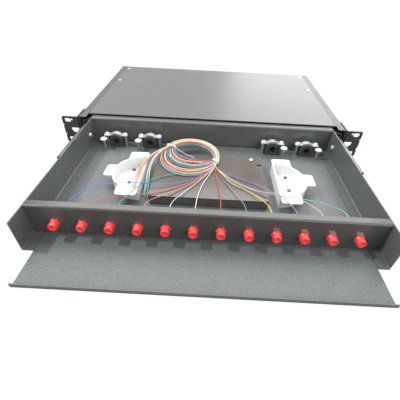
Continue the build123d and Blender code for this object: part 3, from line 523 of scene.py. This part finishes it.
# the coil's edges at twelve stations round it, a twelfth of a turn apart from the front tie
stations = 12
inner_radii = (37.0, 30.5, 27.5, 27.0, 27.5, 29.0, 31.5, 25.0, 20.5, 16.5, 16.0, 23.0)
outer_radii = (45.5, 41.0, 38.5, 38.0, 39.0, 41.0, 42.5, 46.0, 53.5, 59.0, 60.5, 54.0)
coil_x, coil_y = -28.0, -50.0
rear_tie_station = 6  # past it the coil has one turn less and fans out
whole_turns, coil_counts = 3, 31
coil_swell, wander, rank_phase, station_phase = 1.03, 0.7, 2.4, 1.9
coil_front_y = -112.0
coil_low_z, coil_depth, coil_rise = lid_top + 0.8, 2.8, 4.1 / 100.0
layers, layer_margin = 4, 1.4
left_screw = Vector((-lid_screw_x, lid_screw_y))
screw_lift, screw_fall = 2.2, 0.18
# where the leads run in under the front tie
tie_in_x, tie_in_pitch, tie_in_rise = 8.2, 0.235, 0.96
tie_in_ys = (-88.0, -78.0)

# the places in the coil whose bare ends go into the left spool, and beside it
dish_slots = (0, 5, 9, 2, 3, 8)
gap_slots = (10, 1, 11, 6, 4, 7)
# the bundles' middle lines, with the fibres' distance apart at each point
dish_line = ((-61, -37.2, 22.6, 0.95), (-68, -44.8, 22.9, 0.95), (-80, -58.5, 22.9, 1.0),
             (-89, -74, 22.4, 1.0), (-95, -90, 21.4, 1.3), (-98.5, -104, 16.5, 1.9),
             (-100, -116, 10.5, 2.8), (-100.5, -126, 7.2, 3.7), (-101, -134, 5.9, 4.5))
gap_line = ((-65, -41.5, 22.6, 0.95), (-71, -49, 22.6, 0.95), (-76.5, -59.5, 22.2, 0.95),
            (-82, -72, 21.2, 1.0), (-84.8, -87, 18.5, 1.0), (-85.8, -100, 15.0, 1.2),
            (-85.8, -114, 11.0, 1.7), (-85.2, -128, 6.9, 2.3), (-84.4, -142, 3.6, 2.9))
row_width = 3
row_rise, flat_step = 0.85, 1.8  # the upper row comes down where the fibres spread
slanted_points, slant_x, slant_y = 2, 0.77, 0.63
end_stagger, upper_shortfall = 2.5, 1.5


def turn_point(slot, count):
    """A fibre's place in the coil, count twelfths of a turn after the front tie."""
    lap, station = divmod(count, stations)
    rank = slot + stations * lap
    fanned = station > rear_tie_station
    passes = stations * (whole_turns - 1 if fanned else whole_turns)
    outer, inner = outer_radii[station], inner_radii[station]
    radius = (outer - rank / (passes - 1) * (outer - inner)) * coil_swell
    if fanned:
        radius += wander * sin(rank_phase * rank + station_phase * station)
    angle = radians(360 / stations * (station - 1))
    x, y = coil_x + radius * cos(angle), coil_y + radius * sin(angle)
    top = lid_top + coil_depth + (y - coil_front_y) * coil_rise
    z = coil_low_z + ((slot + lap) % layers) * (top - lid_top - layer_margin) / (layers - 1)
    off = (Vector((x, y)) - left_screw).length
    return (x, y, z + max(0.0, screw_lift - off * screw_fall))


def tail_points(slot):
    """A fibre's bare end, from the rear tie to the left spool, in one of two bundles.

    A bundle is three wide and two high, and spreads into a flat row near its end.
    """
    in_dish = slot in dish_slots
    place = (dish_slots if in_dish else gap_slots).index(slot)
    upper, column = divmod(place, row_width)
    off = column - 1 + 0.5 * upper
    points = []
    for number, (x, y, z, step) in enumerate(dish_line if in_dish else gap_line):
        slanted = number < slanted_points
        across = (slant_x if slanted else 1.0) * off * step
        back = slant_y * off * step if slanted else 0.0
        points.append((x + across, y - back, z + row_rise * upper * (step < flat_step)))
    x, y, z = points[-1]
    points[-1] = (x, y - end_stagger * column + upper_shortfall * upper, z)
    return points


def spline_along(name, points, radius, made):
    """A round cord on one smooth line that has the points as its control points."""
    curve = bpy.data.curves.new(name, "CURVE")
    curve.dimensions = "3D"
    curve.bevel_depth = 1.0  # the points' own radius gives the size, so the curve's box is true
    curve.bevel_resolution = 2
    curve.use_fill_caps = True
    curve.resolution_u = 6
    line = curve.splines.new("NURBS")
    line.points.add(len(points) - 1)
    for spot, point in zip(line.points, points):
        spot.co = (*(Vector(point) * MM), 1)
        spot.radius = radius * MM
    line.order_u = 3
    line.use_endpoint_u = True
    curve.materials.append(made)
    return linked(name, curve)


def line_length(cord):
    """The length of a cord's own line, in metres."""
    bevel, cord.data.bevel_depth = cord.data.bevel_depth, 0.0
    mesh = bpy.data.meshes.new_from_object(cord)
    cord.data.bevel_depth = bevel
    spots = [v.co.copy() for v in mesh.vertices]
    bpy.data.meshes.remove(mesh)
    return sum((b - a).length for a, b in zip(spots, spots[1:]))


for x, (tint, slot, straight, middle) in zip(adapter_xs, lead_routes):
    jacket = material(f"fibre_{tint}", fibre_tints[tint], 0.34)
    shade = [part * shade_share for part in fibre_tints[tint]]
    mottle(jacket, shade, fibre_tints[tint], 260)
    grain(jacket, 2500, 0.000008)
    points = [(x, boot_end_y, axis_z), (x, boot_end_y + straight, axis_z), *middle]
    if tint == "green":
        first = -1  # its lead joins the coil before the front tie
    else:
        first = 0
        end_x, end_z = tie_in_x - tie_in_pitch * slot, coil_low_z + tie_in_rise * (slot % layers)
        points += [(end_x, y, end_z) for y in tie_in_ys]
    points += [turn_point(slot, count) for count in range(first, coil_counts)]
    points += tail_points(slot)
    fibre = spline_along(f"fibre_{tint}", points, fibre_r, jacket)
    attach(fibre, "drawer")
    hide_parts("pigtail_leads", "fibre_coil", "pigtail_tails")
    round(line_length(fibre), 3)

# Two thin plastic ties hold the turns together, and the rear one's end was left long.
# The long end curls over the coil's open middle.

dress(white_moulding, "coil_ties")
ribbon_half, ribbon_tilt, ribbon_thick = 0.7, 0.5, 0.35
curl = [(-62.0, -38.5, 24.0), (-57.0, -43.0, 25.2), (-52.0, -48.5, 24.6), (-46.0, -54.0, 23.0),
        (-39.0, -58.5, 21.6), (-32.0, -61.5, 20.4), (-27.5, -63.5, 20.2), (-23.0, -69.0, 19.4)]
ribbon = bmesh.new()
edge_a = [ribbon.verts.new(Vector((x, y + ribbon_half, z)) * MM) for x, y, z in curl]
edge_b = [ribbon.verts.new(Vector((x, y - ribbon_half, z + ribbon_tilt)) * MM)
          for x, y, z in curl]
for row in (edge_a, edge_b):
    for pair in zip(row, row[1:]):
        ribbon.edges.new(pair)
bmesh.ops.bridge_loops(ribbon, edges=ribbon.edges[:])
bmesh.ops.solidify(ribbon, geom=ribbon.faces[:] + ribbon.edges[:] + ribbon.verts[:],
                   thickness=ribbon_thick * MM)
bmesh.ops.recalc_face_normals(ribbon, faces=ribbon.faces)
finish_piece(ribbon, "tie_tail", white_moulding, "drawer", smooth=40)

# The drawer stands on a plain pale floor. A small lamp high on the left gives the crisp shadows,
# and two wide soft lamps behind and a weaker one at the front right fill them.
# The camera looks down on it from the front, where the photographer stood.

ground_half, ground_drop = 6.0, 0.0005
ground_share, ground_glow, sky_strength = 0.88, 1.1, 0.93
# name, place and aim in metres, width, depth and watts
lamps = (
    ("key_lamp", (-1.75, 0.05, 2.1), (0, -0.2, 0), 0.16, 0.16, 54),
    ("rear_softbox", (0.05, 1.35, 2.0), (0, -0.2, 0), 3.3, 1.5, 70),
    ("low_softbox", (1.4, 2.9, 0.95), (0.1, 0.1, 0), 2.6, 1.4, 36),
    ("front_softbox", (1.0, -1.5, 1.15), (0, -0.15, 0), 1.2, 0.9, 19),
)
camera_place = (-0.00191, -0.44266, 0.24293)
camera_turn, camera_dip, camera_roll = 0.17, 41.8, 2.96


def pale_ground():
    """The floor, nearly white to the camera wherever it isn't in shadow."""
    plane = bmesh.new()
    bmesh.ops.create_grid(plane, x_segments=1, y_segments=1, size=ground_half)
    bmesh.ops.translate(plane, verts=plane.verts, vec=(0, 0, -ground_drop))
    data = bpy.data.meshes.new("ground")
    plane.to_mesh(data)
    plane.free()
    paper = material("ground_paper", (0.3, 0.3, 0.3), 0.95)
    nodes, links = paper.node_tree.nodes, paper.node_tree.links
    seen = nodes.new("ShaderNodeLightPath")
    share = nodes.new("ShaderNodeMath")
    share.operation = "MULTIPLY"
    share.inputs[1].default_value = ground_share
    glow = nodes.new("ShaderNodeEmission")
    glow.inputs["Strength"].default_value = ground_glow
    blend = nodes.new("ShaderNodeMixShader")
    links.new(seen.outputs["Is Camera Ray"], share.inputs[0])
    links.new(share.outputs["Value"], blend.inputs["Fac"])
    links.new(shader_of(paper).outputs["BSDF"], blend.inputs[1])
    links.new(glow.outputs["Emission"], blend.inputs[2])
    links.new(blend.outputs["Shader"], nodes["Material Output"].inputs["Surface"])
    data.materials.append(paper)
    ground = linked("ground", data)


pale_ground()
world = bpy.data.worlds.new("studio")
bpy.context.scene.world = world
world.use_nodes = True
world.node_tree.nodes["Background"].inputs["Color"].default_value = (1, 1, 1, 1)
world.node_tree.nodes["Background"].inputs["Strength"].default_value = sky_strength
for name, spot, aim, width, depth, watts in lamps:
    light = bpy.data.lights.new(name, "AREA")
    light.shape = "RECTANGLE"
    light.size = width
    light.size_y = depth
    light.energy = watts
    holder = linked(name, light)
    holder.location = spot
    holder.rotation_euler = (Vector(aim) - Vector(spot)).to_track_quat("-Z", "Y").to_euler()

view = bpy.data.cameras.new("photo_view")
view.sensor_width = 36.0
view.lens = 26.16
view.shift_x = -0.0136
view.shift_y = 0.03995
view.clip_start = 0.01
camera = linked("photo_view", view)
camera.matrix_world = (
    Matrix.Translation(camera_place)
    @ Matrix.Rotation(radians(camera_turn), 4, "Z")
    @ Matrix.Rotation(radians(90 - camera_dip), 4, "X")
    @ Matrix.Rotation(radians(camera_roll), 4, "Z")
)
bpy.context.scene.camera = camera
bpy.context.scene.view_settings.view_transform = "Standard"
